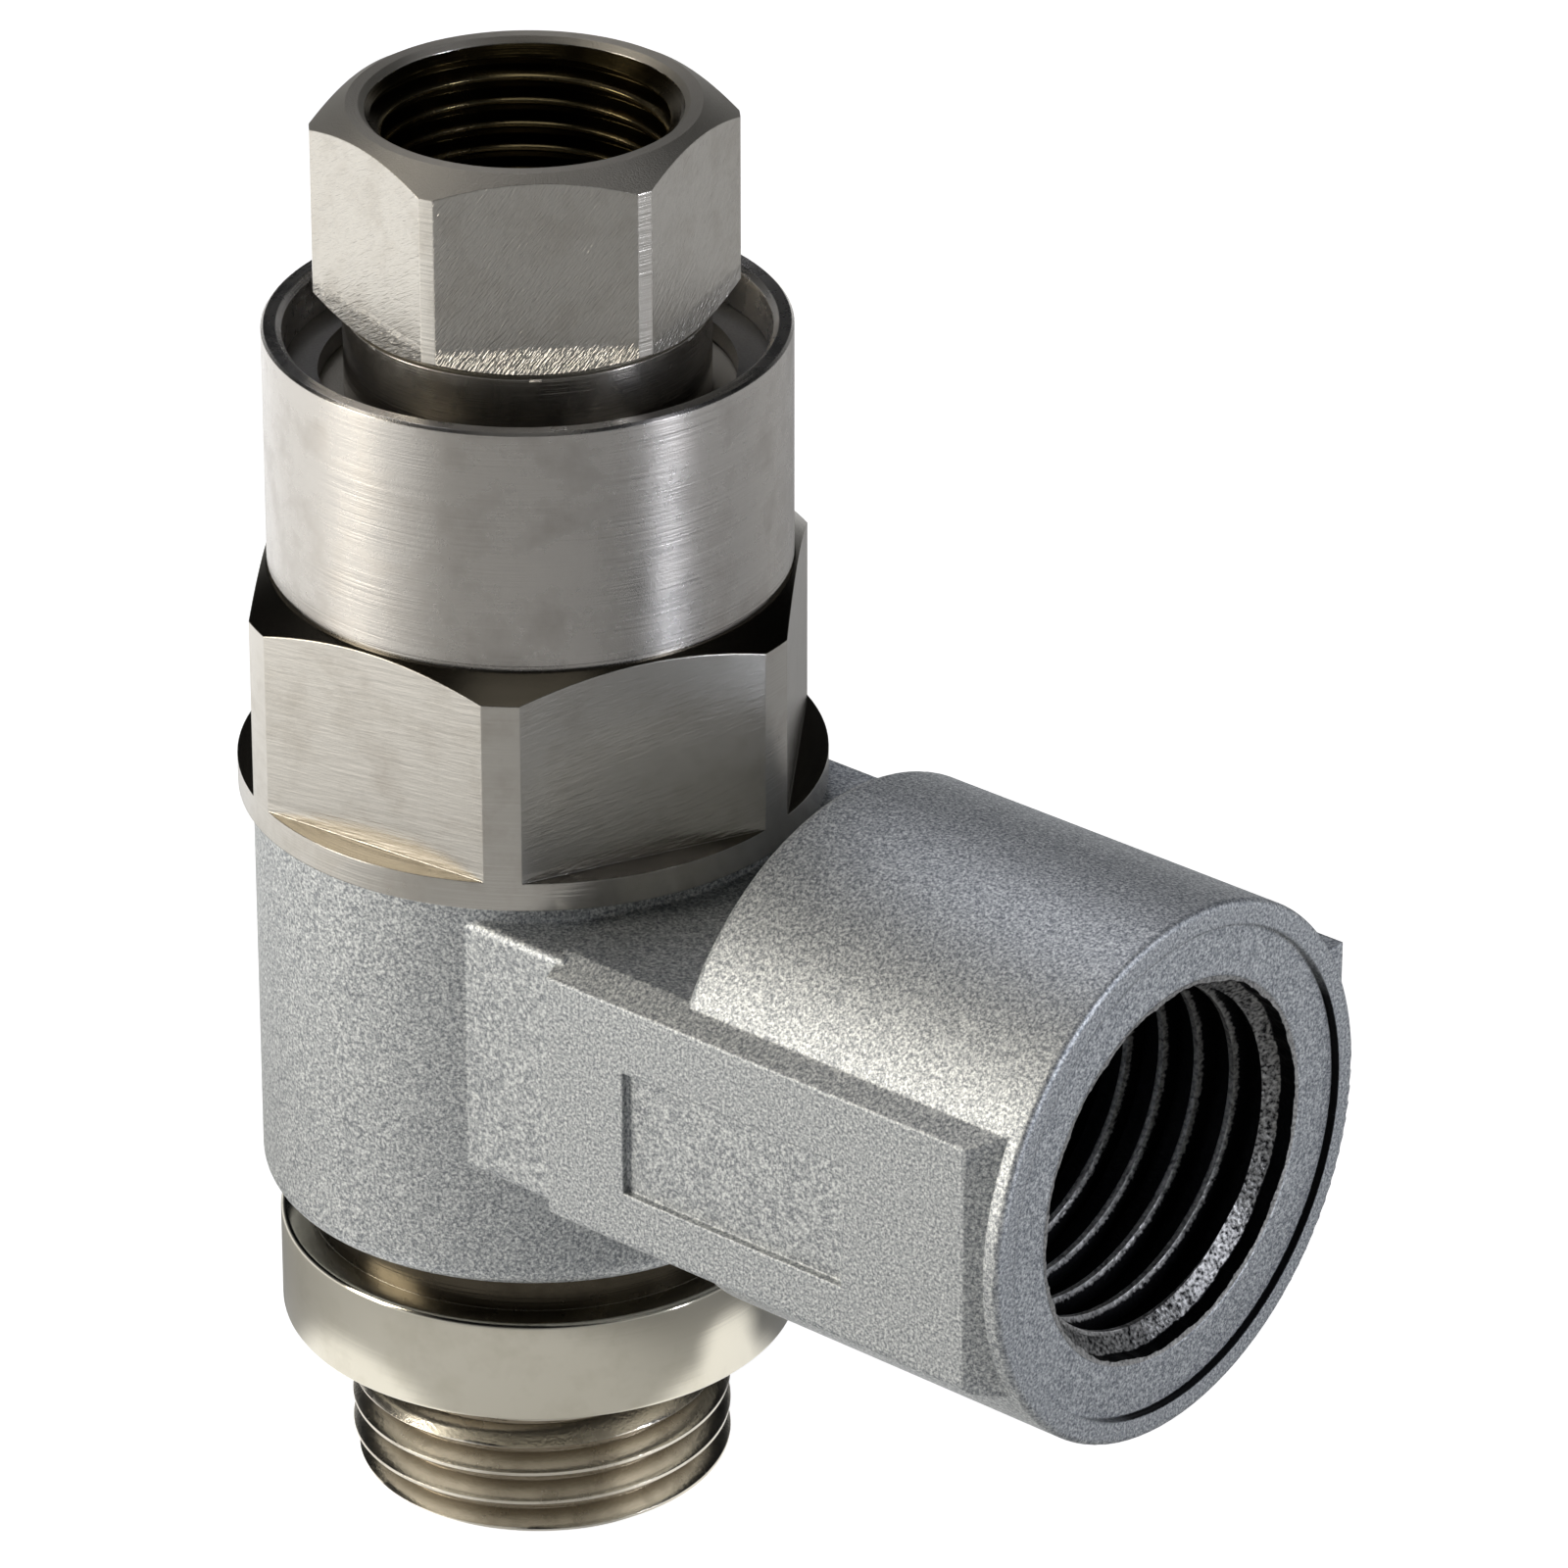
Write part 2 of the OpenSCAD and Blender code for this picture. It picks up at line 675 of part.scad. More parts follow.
module check_poppet() {
    color("#b9a36a") difference() {
        rotate_extrude() polygon([
            [0, z_poppet - guide_len],
            [guide_d / 2 - edge_break, z_poppet - guide_len],
            [guide_d / 2, z_poppet - guide_len + edge_break],
            [guide_d / 2, z_poppet],
            [poppet_d / 2 - edge_break, z_poppet],
            [poppet_d / 2, z_poppet + edge_break],
            [poppet_d / 2, z_seat - face_gap],
            [nose_r, z_seat - face_gap],
            [nose_r, z_seat + nose_h - 2 * edge_break],
            [nose_r - 2 * edge_break, z_seat + nose_h],
            [0, z_seat + nose_h]
        ]);
        tube(nose_r, poppet_d / 2 - lip_w, z_seat - face_gap - seal_t, z_seat);
    }
}

module poppet_seal() {
    color("#26262a") tube(nose_r + screwed_gap, poppet_d / 2 - lip_w - screwed_gap,
        z_seat - face_gap - seal_t, z_seat - seat_gap);
}

module poppet_spring() {
    color("#b4b6b8") coil_spring(retainer_hub_r + poppet_wire / 2 + 0.35, poppet_wire,
        z_retainer + retainer_t + seat_gap, z_poppet - seat_gap, 5);
}

module spring_retainer() {
    flow_holes = 6;
    flow_hole_r = 1.25;
    flow_r = 5.6;
    z_plate_top = z_retainer + retainer_t;
    z_hub_top = z_plate_top + retainer_hub_h;
    color("#b9a36a") difference() {
        union() {
            turned(chamber_d / 2 - screwed_gap, z_retainer, z_plate_top);
            turned(retainer_hub_r, z_retainer, z_hub_top);
        }
        turned(guide_d / 2 + running_gap, z_retainer - overcut, z_hub_top + overcut);
        for (i = [0 : flow_holes - 1]) rotate([0, 0, 360 / flow_holes * i]) translate([flow_r, 0, 0])
            turned(flow_hole_r, z_retainer - overcut, z_plate_top + overcut);
    }
}

module retainer_clip() {
    ring_w = 1.3;
    lug_r = 1;
    hole_r = 0.45;
    color("#77736b") at_z(z_clip + seat_gap / 2)
        snap_ring(chamber_d / 2 + clip_groove - ring_w, chamber_d / 2 + clip_groove - running_gap,
            lug_r, hole_r, 40, retainer_clip_t - seat_gap);
}

banjo_body();
hex_body();
threaded_stem();
o_ring(face_recess_d / 2 - face_seal_d - seal_gap, face_seal_d, face_seal_d / 2 + seat_gap);  // port_face_seal
o_ring(land_groove_r, land_seal_d, z_lower_seal);  // lower_banjo_seal
o_ring(land_groove_r, land_seal_d, z_upper_seal);  // upper_banjo_seal
o_ring(socket_d / 2 - stem_seal_d, stem_seal_d - screwed_gap, z_stem_seal);  // stem_seal
pilot_sleeve();
o_ring(spigot_r - sleeve_seal_d, sleeve_seal_d, z_sleeve_seal);  // sleeve_seal
pilot_connector();
o_ring(head_r - connector_seal_d, connector_seal_d, z_connector_seal);  // connector_seal
connector_circlip();
pilot_piston();
o_ring(piston_r - piston_seal_d, piston_seal_d, z_piston + piston_h / 2 + 0.3);  // piston_seal
piston_rod();
piston_nut();
piston_spring();
o_ring(rod_d / 2 + running_gap, rod_seal_d - seat_gap, z_gland + rod_seal_d / 2);  // rod_seal
gland_washer();
check_poppet();
poppet_seal();
poppet_spring();
spring_retainer();
retainer_clip();
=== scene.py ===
import math

import bmesh
import bpy
import numpy as np
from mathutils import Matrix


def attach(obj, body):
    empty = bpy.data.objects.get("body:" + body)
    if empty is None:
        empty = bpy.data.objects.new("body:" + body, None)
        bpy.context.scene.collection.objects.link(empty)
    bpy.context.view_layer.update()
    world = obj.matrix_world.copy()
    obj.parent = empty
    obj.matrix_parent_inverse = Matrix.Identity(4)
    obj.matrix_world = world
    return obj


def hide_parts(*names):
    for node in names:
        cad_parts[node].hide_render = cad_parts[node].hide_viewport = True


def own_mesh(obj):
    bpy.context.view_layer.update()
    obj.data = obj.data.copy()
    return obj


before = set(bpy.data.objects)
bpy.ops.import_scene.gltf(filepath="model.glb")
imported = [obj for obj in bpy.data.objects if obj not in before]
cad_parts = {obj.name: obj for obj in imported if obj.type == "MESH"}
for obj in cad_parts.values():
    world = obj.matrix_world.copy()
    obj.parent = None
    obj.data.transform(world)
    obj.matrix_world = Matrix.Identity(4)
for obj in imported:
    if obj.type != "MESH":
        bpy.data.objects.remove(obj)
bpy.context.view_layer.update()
print("frame loaded:", len(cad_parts), "nodes")

mm = 0.001
scene = bpy.context.scene


# sRGB hex colour to the linear numbers that a shader takes
def linear(hexColour):
    parts = [int(hexColour[i:i + 2], 16) / 255 for i in (1, 3, 5)]
    return tuple(c / 12.92 if c <= 0.04045 else ((c + 0.055) / 1.055) ** 2.4 for c in parts) + (1.0,)


# adds a shader node; a setting is an input's value or the node's own property
def addNode(tree, kind, settings=None, links=None):
    node = tree.nodes.new("ShaderNode" + kind)
    for key, value in (settings or {}).items():
        if isinstance(key, int) or key in node.inputs:
            node.inputs[key].default_value = value
        else:
            setattr(node, key, value)
    for key, source in (links or {}).items():
        tree.links.new(source, node.inputs[key])
    return node


def newMaterial(name):
    material = bpy.data.materials.new(name)
    material.use_nodes = True
    material.node_tree.nodes.clear()
    return material, material.node_tree


# camera: where the photograph's circles and edges put it
camera = {
    "place": (303.11, -338.43, 268.61),
    "tilt": 62.417,
    "turn": 40.153,
    "lens": 218.93,
    "sensor": 36,
    "nearest": 10,
    "farthest": 20000,
}


def makeCamera(look):
    data = bpy.data.cameras.new("camera")
    data.lens = look["lens"]
    data.sensor_width = look["sensor"]
    data.clip_start = look["nearest"] * mm
    data.clip_end = look["farthest"] * mm
    eye = bpy.data.objects.new("camera", data)
    eye.location = [c * mm for c in look["place"]]
    eye.rotation_euler = (math.radians(look["tilt"]), 0, math.radians(look["turn"]))
    scene.collection.objects.link(eye)
    scene.camera = eye


makeCamera(camera)

# studio: white paper with pools of light painted into its glow, which only metal sees in reflection: wide
# ones to the left, behind and in front, and small ones close round the fitting; with soft boxes and a room
# that is bright near the ground and dark overhead
studio = {
    "floorHeight": -9.55,
    "floorSize": 6000,
    "floor": "#C6C6C4",
    "cameraGlow": 0.88,
    "sidePools": {"leftPool": {"bearing": -168, "from": 14, "to": 124, "strength": 1.0},
                  "backPool": {"bearing": 68, "from": 60, "to": 170, "strength": 0.32},
                  "frontPool": {"bearing": -62, "from": 50, "to": 120, "strength": 0.14}},
    "roundPools": {"nearPool": {"place": (14, -34), "from": 62, "to": 24, "strength": 0.34},
                   "rightPool": {"place": (29, 14), "from": 11, "to": 3, "strength": 0.90},
                   "leftCorePool": {"place": (-9, -16), "from": 16, "to": 7, "strength": 1.0},
                   "rightCorePool": {"place": (17, 6), "from": 14, "to": 6, "strength": 1.0}},
    "roomLow": "#EDEFF2",
    "roomHigh": "#141517",
    "roomBrightTo": 0.02,
    "roomDarkFrom": 0.38,
    "roomStrength": 0.55,
    "softBoxAim": 30,
    "softBoxes": {
        "softBoxLeft": {"bearing": -125, "height": 17, "away": 620, "size": (240, 440), "watts": 2.7,
                        "colour": "#FFF9EE"},
        "softBoxRight": {"bearing": 11, "height": 12, "away": 600, "size": (60, 420), "watts": 1.75,
                         "colour": "#EEF2FF"},
        "softBoxBack": {"bearing": 150, "height": 58, "away": 640, "size": (300, 300), "watts": 0.8,
                        "colour": "#F2F4FF"},
        "softBoxTop": {"bearing": -50, "height": 88, "away": 640, "size": (260, 260), "watts": 0.16,
                       "colour": "#FFFFFF"},
    },
}


# adds a painted pool of light, which grows smoothly from one distance to another, to those before it
def addPool(tree, pool, distance, others):
    grown = addNode(tree, "MapRange", {"From Min": pool["from"] * mm, "From Max": pool["to"] * mm,
                                       "To Max": pool["strength"], "interpolation_type": "SMOOTHSTEP"},
                    {"Value": distance})
    if others is None:
        return grown.outputs[0]
    return addNode(tree, "Math", {"operation": "ADD"}, {0: others, 1: grown.outputs[0]}).outputs[0]


# the floor's pools: a side pool grows along its bearing, and a round one towards its middle
def floorPools(tree, look, place):
    pools = None
    for pool in look["sidePools"].values():
        bearing = math.radians(pool["bearing"])
        outwards = (math.cos(bearing), math.sin(bearing), 0)
        along = addNode(tree, "VectorMath", {"operation": "DOT_PRODUCT", 1: outwards}, {0: place})
        pools = addPool(tree, pool, along.outputs["Value"], pools)
    for pool in look["roundPools"].values():
        middle = [c * mm for c in (*pool["place"], look["floorHeight"])]
        distance = addNode(tree, "VectorMath", {"operation": "DISTANCE", 1: middle}, {0: place})
        pools = addPool(tree, pool, distance.outputs["Value"], pools)
    return pools


# matt paper: a glow lifts it to full white for the camera and keeps the shadow; pools of light are painted
# into the glow for glossy and transmission rays, so metal shows it brighter there, at most as bright as white
def paperMaterial(look):
    material, tree = newMaterial("whitePaper")
    paper = addNode(tree, "BsdfDiffuse", {"Color": linear(look["floor"])})
    path = addNode(tree, "LightPath")
    where = addNode(tree, "TexCoord")
    pools = floorPools(tree, look, where.outputs["Object"])
    mirrored = addNode(tree, "Math", {"operation": "MAXIMUM"},
                       {0: path.outputs["Is Glossy Ray"], 1: path.outputs["Is Transmission Ray"]})
    poolSeen = addNode(tree, "Math", {"operation": "MULTIPLY", "use_clamp": True},
                       {0: pools, 1: mirrored.outputs[0]})
    strength = addNode(tree, "Math", {"operation": "MULTIPLY_ADD", 1: look["cameraGlow"]},
                       {0: path.outputs["Is Camera Ray"], 2: poolSeen.outputs[0]})
    glow = addNode(tree, "Emission", {"Color": linear("#FFFFFF")}, {"Strength": strength.outputs[0]})
    both = addNode(tree, "AddShader", {}, {0: paper.outputs[0], 1: glow.outputs[0]})
    addNode(tree, "OutputMaterial", {}, {"Surface": both.outputs[0]})
    return material


def makeFloor(look):
    half = look["floorSize"] / 2 * mm
    z = look["floorHeight"] * mm
    mesh = bpy.data.meshes.new("floor")
    corners = [(-half, -half, z), (half, -half, z), (half, half, z), (-half, half, z)]
    mesh.from_pydata(corners, [], [(0, 1, 2, 3)])
    mesh.materials.append(paperMaterial(look))
    floor = bpy.data.objects.new("floor", mesh)
    scene.collection.objects.link(floor)


def makeRoom(look):
    world = bpy.data.worlds.new("room")
    world.use_nodes = True
    tree = world.node_tree
    tree.nodes.clear()
    where = addNode(tree, "TexCoord")
    height = addNode(tree, "SeparateXYZ", {}, {0: where.outputs["Generated"]})
    ramp = addNode(tree, "MapRange", {"From Min": look["roomBrightTo"], "From Max": look["roomDarkFrom"],
                                      "interpolation_type": "SMOOTHSTEP"}, {"Value": height.outputs["Z"]})
    colour = addNode(tree, "Mix", {"data_type": "RGBA", 6: linear(look["roomLow"]),
                                   7: linear(look["roomHigh"])}, {0: ramp.outputs[0]})
    light = addNode(tree, "Background", {"Strength": look["roomStrength"]}, {"Color": colour.outputs[2]})
    addNode(tree, "OutputWorld", {}, {"Surface": light.outputs[0]})
    scene.world = world


# a soft box stands on a bearing from the stem's axis, at an angle above the floor, and faces the part
def makeSoftBox(name, look, aim):
    data = bpy.data.lights.new(name, "AREA")
    data.shape = "RECTANGLE"
    data.size, data.size_y = [s * mm for s in look["size"]]
    data.energy = look["watts"]
    data.color = linear(look["colour"])[:3]
    lamp = bpy.data.objects.new(name, data)
    bearing, height = math.radians(look["bearing"]), math.radians(look["height"])
    away = look["away"] * mm
    lamp.location = (away * math.cos(height) * math.cos(bearing),
                     away * math.cos(height) * math.sin(bearing),
                     away * math.sin(height) + aim * mm)
    lamp.rotation_euler = (math.pi / 2 - height, 0, bearing + math.pi / 2)
    scene.collection.objects.link(lamp)


makeFloor(studio)
makeRoom(studio)
for boxName, boxLook in studio["softBoxes"].items():
    makeSoftBox(boxName, boxLook, studio["softBoxAim"])
scene.view_settings.view_transform = "Standard"
print("camera, floor and lights placed")

# nickel plate over turned brass: a warm silver with fine tool rings, faint stains and softly broken edges
nickelFinish = {
    "turnedNickel": {"colour": "#C8C4BC", "stain": "#A8A196", "rough": 0.22, "ringPitch": 0.14,
                     "ringDepth": 0.016, "grain": 0.10, "grainDepth": 0.0036, "edge": 0.10, "spread": 0.5},
    "satinNickel": {"colour": "#C2BEB8", "stain": "#A69F97", "rough": 0.27, "ringPitch": 0.16,
                    "ringDepth": 0.020, "grain": 0.09, "grainDepth": 0.0078, "edge": 0.08, "spread": 0.8},
    "collarNickel": {"colour": "#D4CFC0", "stain": "#BFB9A6", "rough": 0.14, "ringPitch": 0.3,
                     "ringDepth": 0.004, "grain": 0.12, "grainDepth": 0.0009, "edge": 0.08, "spread": 0.5},
    # the hub's dark colours are painted shade, where it sits between the collar and the eye
    "hubNickelShade": {"colour": "#4E483D", "stain": "#2E281F", "rough": 0.26, "ringPitch": 0.14,
                  "ringDepth": 0.012, "grain": 0.12, "grainDepth": 0.0036, "edge": 0.04, "spread": 0.4},
    # in the thread finishes, "root" is painted shade: the dark colour that a thread's roots take
    "threadNickel": {"colour": "#D0CABD", "stain": "#7D7364", "rough": 0.24, "ringPitch": 0.14,
                     "ringDepth": 0.016, "grain": 0.20, "grainDepth": 0.015, "edge": 0.04, "spread": 0.4,
                     "root": "#8A806F"},
    "pilotThreadNickel": {"colour": "#B09F76", "stain": "#6F6351", "rough": 0.24, "ringPitch": 0.14,
                          "ringDepth": 0.016, "grain": 0.16, "grainDepth": 0.0072, "edge": 0.04,
                          "spread": 0.4, "root": "#4A4028"},
}
# stains in the plate: their size, the values of their noise between which they grow, and how far they then
# tint the plate; between two more values the plate goes from smoother to rougher than its finish says
plateStains = {"size": 2.6, "start": 0.48, "full": 0.80, "tint": 0.55, "smoothAt": 0.3, "roughAt": 0.7,
               "smoother": 0.8, "rougher": 1.25}
# tool rings: how many times slower they change across than along the stem's axis, and how fast they change
# outwards against along
toolRings = {"stretch": 60, "outwards": 0.7}
# bearings of the flats of each hex, in degrees from the side port, and the cutter marks on them: a flat
# starts at "low", and below "band" the marks bite deeper; "top" is for the faces turned upwards, the upper
# face and its chamfers, whose colour is painted shade
milledFlats = {
    "milledNickelLarge": {"base": "turnedNickel", "turn": 5.7, "rough": 0.25, "markPitch": 0.30,
                          "markDepth": 1.0, "slope": 8, "low": 33.9, "band": 33.9,
                          "topShade": "#615B4F", "topRough": 0.24, "topGrain": 1.0},
    "milledNickelSmall": {"base": "turnedNickel", "turn": -15.35, "rough": 0.34, "markPitch": 0.12,
                          "markDepth": 4.5, "slope": 52, "low": 59.75, "band": 61.5,
                          "topShade": "#9C978C", "topRough": 0.52, "topGrain": 9.0},
}
# a mark's length in widths, how much deeper it bites at a flat's foot, and the height over which that grows
cutterMark = {"length": 6, "footBite": 3, "bandEdge": 0.4}
# how much of its length a flat's normal has along its bearing at the least, and a top's normal upwards
flatFacing = 0.9995
topFacing = 0.3


# rings run round the stem's axis: noise that hardly changes round it, and changes fast along it and outwards
def ringNoise(tree, pitch, place):
    across = addNode(tree, "CombineXYZ", {}, {0: place.outputs["X"], 1: place.outputs["Y"]})
    radius = addNode(tree, "VectorMath", {"operation": "LENGTH"}, {0: across.outputs[0]})
    along = addNode(tree, "Math", {"operation": "MULTIPLY_ADD", 1: toolRings["outwards"]},
                    {0: radius.outputs["Value"], 2: place.outputs["Z"]})
    ringPlace = addNode(tree, "CombineXYZ", {},
                        {0: place.outputs["X"], 1: place.outputs["Y"], 2: along.outputs[0]})
    frequency = 1 / (pitch * mm)
    slow = frequency / toolRings["stretch"]
    scale = addNode(tree, "Mapping", {"Scale": (slow, slow, frequency)}, {"Vector": ringPlace.outputs[0]})
    return addNode(tree, "TexNoise", {"Scale": 1.0, "Detail": 1.5, "Roughness": 0.6},
                   {"Vector": scale.outputs[0]}).outputs["Fac"]


# 1 on a hex flat: its normal lies on one of three level lines, 60 degrees apart, and it is above "low"
def flatMask(tree, flats, normal, height):
    nearest = None
    for k in range(3):
        bearing = math.radians(flats["turn"] + 30 + 60 * k)
        level = (math.cos(bearing), math.sin(bearing), 0)
        dot = addNode(tree, "VectorMath", {"operation": "DOT_PRODUCT", 1: level}, {0: normal})
        size = addNode(tree, "Math", {"operation": "ABSOLUTE"}, {0: dot.outputs["Value"]}).outputs[0]
        if nearest is None:
            nearest = size
        else:
            nearest = addNode(tree, "Math", {"operation": "MAXIMUM"}, {0: nearest, 1: size}).outputs[0]
    facing = addNode(tree, "Math", {"operation": "GREATER_THAN", 1: flatFacing}, {0: nearest})
    aboveLow = addNode(tree, "Math", {"operation": "GREATER_THAN", 1: flats["low"] * mm}, {0: height})
    return addNode(tree, "Math", {"operation": "MULTIPLY"},
                   {0: facing.outputs[0], 1: aboveLow.outputs[0]}).outputs[0]


# cutter marks climb the flat that faces the camera at a slope; they bite deeper near its foot
def cutterMarks(tree, flats, where, height):
    bearing, slope = math.radians(flats["turn"] - 30), math.radians(flats["slope"])
    level = (-math.sin(bearing), math.cos(bearing))
    marksAlong = (level[0] * math.cos(slope), level[1] * math.cos(slope), math.sin(slope))
    marksAcross = (-level[0] * math.sin(slope), -level[1] * math.sin(slope), math.cos(slope))
    along = addNode(tree, "VectorMath", {"operation": "DOT_PRODUCT", 1: marksAlong}, {0: where})
    across = addNode(tree, "VectorMath", {"operation": "DOT_PRODUCT", 1: marksAcross}, {0: where})
    markPlace = addNode(tree, "CombineXYZ", {}, {0: along.outputs["Value"], 1: across.outputs["Value"]})
    frequency = 1 / (flats["markPitch"] * mm)
    slant = addNode(tree, "Mapping", {"Scale": (frequency / cutterMark["length"], frequency, 1)},
                    {"Vector": markPlace.outputs[0]})
    marks = addNode(tree, "TexNoise", {"Scale": 1.0, "Detail": 2.0, "Roughness": 0.7},
                    {"Vector": slant.outputs[0]})
    bite = addNode(tree, "MapRange", {"From Min": (flats["band"] + cutterMark["bandEdge"]) * mm,
                                      "From Max": flats["band"] * mm, "To Min": flats["markDepth"],
                                      "To Max": flats["markDepth"] * cutterMark["footBite"]},
                   {"Value": height})
    return addNode(tree, "Math", {"operation": "MULTIPLY"},
                   {0: marks.outputs["Fac"], 1: bite.outputs[0]}).outputs[0]


# the milled hex's changes to the plate's sockets: marks take the rings' place on its flats, which have a
# roughness of their own, and the faces turned upwards have a roughness and grain of their own and a colour
# that is painted shade
def millHex(tree, flats, where, height, sockets):
    normal = addNode(tree, "NewGeometry").outputs["True Normal"]
    onFlat = flatMask(tree, flats, normal, height)
    marks = cutterMarks(tree, flats, where, height)
    relief = addNode(tree, "Mix", {"data_type": "FLOAT"}, {0: onFlat, 2: sockets["rings"], 3: marks})
    tilt = addNode(tree, "SeparateXYZ", {}, {0: normal})
    faceUp = addNode(tree, "Math", {"operation": "GREATER_THAN", 1: topFacing},
                     {0: tilt.outputs["Z"]}).outputs[0]
    # painted shade on the faces turned upwards
    colour = addNode(tree, "Mix", {"data_type": "RGBA", 7: linear(flats["topShade"])},
                     {0: faceUp, 6: sockets["colour"]})
    flatRough = addNode(tree, "Mix", {"data_type": "FLOAT", 3: flats["rough"]},
                        {0: onFlat, 2: sockets["rough"]})
    topRough = addNode(tree, "Mix", {"data_type": "FLOAT", 3: flats["topRough"]},
                       {0: faceUp, 2: flatRough.outputs[0]})
    topGrain = addNode(tree, "Mix", {"data_type": "FLOAT", 2: 1.0, 3: flats["topGrain"]}, {0: faceUp})
    coarse = addNode(tree, "Math", {"operation": "MULTIPLY"}, {0: sockets["grain"], 1: topGrain.outputs[0]})
    return {"rings": relief.outputs[0], "colour": colour.outputs[2], "rough": topRough.outputs[0],
            "grain": coarse.outputs[0]}


# the plate's shader: rings, stains and grain, and on a milled hex what millHex makes of them
def nickelMaterial(name, look, flats=None):
    material, tree = newMaterial(name)
    where = addNode(tree, "TexCoord").outputs["Object"]
    place = addNode(tree, "SeparateXYZ", {}, {0: where})
    grain = addNode(tree, "TexNoise", {"Scale": 1 / (look["grain"] * mm), "Detail": 2.0}, {"Vector": where})
    stains = addNode(tree, "TexNoise", {"Scale": 1 / (plateStains["size"] * mm), "Detail": 4.0,
                                        "Roughness": 0.65}, {"Vector": where})
    tint = addNode(tree, "MapRange", {"From Min": plateStains["start"], "From Max": plateStains["full"],
                                      "To Max": plateStains["tint"]}, {"Value": stains.outputs["Fac"]})
    colour = addNode(tree, "Mix", {"data_type": "RGBA", 6: linear(look["colour"]),
                                   7: linear(look["stain"])}, {0: tint.outputs[0]})
    if "root" in look:
        # painted shade in a thread's roots: the colour falls to the root colour as the crest mask falls to 0
        crest = addNode(tree, "Attribute", {"attribute_name": "crest"})
        colour = addNode(tree, "Mix", {"data_type": "RGBA", 6: linear(look["root"])},
                         {0: crest.outputs["Fac"], 7: colour.outputs[2]})
    rough = addNode(tree, "MapRange", {"From Min": plateStains["smoothAt"],
                                       "From Max": plateStains["roughAt"],
                                       "To Min": look["rough"] * plateStains["smoother"],
                                       "To Max": look["rough"] * plateStains["rougher"]},
                    {"Value": stains.outputs["Fac"]})
    sockets = {"rings": ringNoise(tree, look["ringPitch"], place), "colour": colour.outputs[2],
               "rough": rough.outputs[0], "grain": grain.outputs["Fac"]}
    if flats:
        sockets = millHex(tree, flats, where, place.outputs["Z"], sockets)
    soft = addNode(tree, "Bevel", {"samples": 4, "Radius": look["edge"] * mm})
    ringBump = addNode(tree, "Bump", {"Strength": 1.0, "Distance": look["ringDepth"] * mm},
                       {"Height": sockets["rings"], "Normal": soft.outputs[0]})
    grainBump = addNode(tree, "Bump", {"Strength": 1.0, "Distance": look["grainDepth"] * mm},
                        {"Height": sockets["grain"], "Normal": ringBump.outputs[0]})
    # turned metal spreads a light across its rings
    around = addNode(tree, "Tangent", {"direction_type": "RADIAL", "axis": "Z"})
    metal = addNode(tree, "BsdfPrincipled", {"Metallic": 1.0, "Anisotropic": look["spread"],
                                             "Anisotropic Rotation": 0.25},
                    {"Base Color": sockets["colour"], "Roughness": sockets["rough"],
                     "Normal": grainBump.outputs[0], "Tangent": around.outputs[0]})
    addNode(tree, "OutputMaterial", {}, {"Surface": metal.outputs[0]})
    return material


# die-cast zinc under a fine silver-grey metallic paint: flakes sparkle in a slightly pebbled coat; a flake
# is bright where its noise is high and shaded where it is low
zincPaint = {
    "colour": "#B5B8BA", "flake": "#E8EAE8", "shade": "#7A7E83", "rough": 0.56, "metallic": 0.85,
    "flakeSize": 0.17, "middle": 0.50, "brightFull": 0.66, "shadeFull": 0.34,
    "pebble": 0.24, "pebbleDepth": 0.012, "edge": 0.25, "shadowLineColour": "#101012",
}
# a painted shadow line along the spot face's edge, only on the side away from the stem and below, where the
# step in the face would shade it; the line's width wavers with the flakes
portShadowLine = {
    "axisHeight": 23.6, "radius": 13.5, "width": 0.10, "core": 0.5, "waver": 0.25, "waverMiddle": 0.12,
    "front": 43.5, "toward": (0, 0.75, -0.66), "sideStart": 1.5, "sideFull": 6,
}


# 1 along the painted shadow line: near its radius round the port's axis, towards its own side, and on the
#                                  rim's front
def shadowLineMask(tree, shadowLine, where, flakes):
    fromAxis = addNode(tree, "VectorMath", {"operation": "SUBTRACT", 1: (0, 0, shadowLine["axisHeight"] * mm)},
                       {0: where})
    inFace = addNode(tree, "VectorMath", {"operation": "MULTIPLY", 1: (0, 1, 1)}, {0: fromAxis.outputs[0]})
    radius = addNode(tree, "VectorMath", {"operation": "LENGTH"}, {0: inFace.outputs[0]})
    offEdge = addNode(tree, "Math", {"operation": "SUBTRACT", 1: shadowLine["radius"] * mm},
                      {0: radius.outputs["Value"]})
    offSize = addNode(tree, "Math", {"operation": "ABSOLUTE"}, {0: offEdge.outputs[0]})
    ragged = addNode(tree, "Math", {"operation": "MULTIPLY_ADD", 1: -shadowLine["waver"] * mm,
                                    2: shadowLine["waverMiddle"] * mm}, {0: flakes})
    lineSize = addNode(tree, "Math", {"operation": "ADD"}, {0: offSize.outputs[0], 1: ragged.outputs[0]})
    line = addNode(tree, "MapRange", {"From Min": shadowLine["width"] * mm,
                                      "From Max": shadowLine["width"] * shadowLine["core"] * mm},
                   {"Value": lineSize.outputs[0]})
    side = addNode(tree, "VectorMath", {"operation": "DOT_PRODUCT", 1: shadowLine["toward"]},
                   {0: inFace.outputs[0]})
    onSide = addNode(tree, "MapRange", {"From Min": shadowLine["sideStart"] * mm,
                                        "From Max": shadowLine["sideFull"] * mm}, {"Value": side.outputs["Value"]})
    along = addNode(tree, "SeparateXYZ", {}, {0: where})
    onFront = addNode(tree, "Math", {"operation": "GREATER_THAN", 1: shadowLine["front"] * mm},
                      {0: along.outputs["X"]})
    sideLine = addNode(tree, "Math", {"operation": "MULTIPLY"}, {0: line.outputs[0], 1: onSide.outputs[0]})
    return addNode(tree, "Math", {"operation": "MULTIPLY"},
                   {0: sideLine.outputs[0], 1: onFront.outputs[0]}).outputs[0]


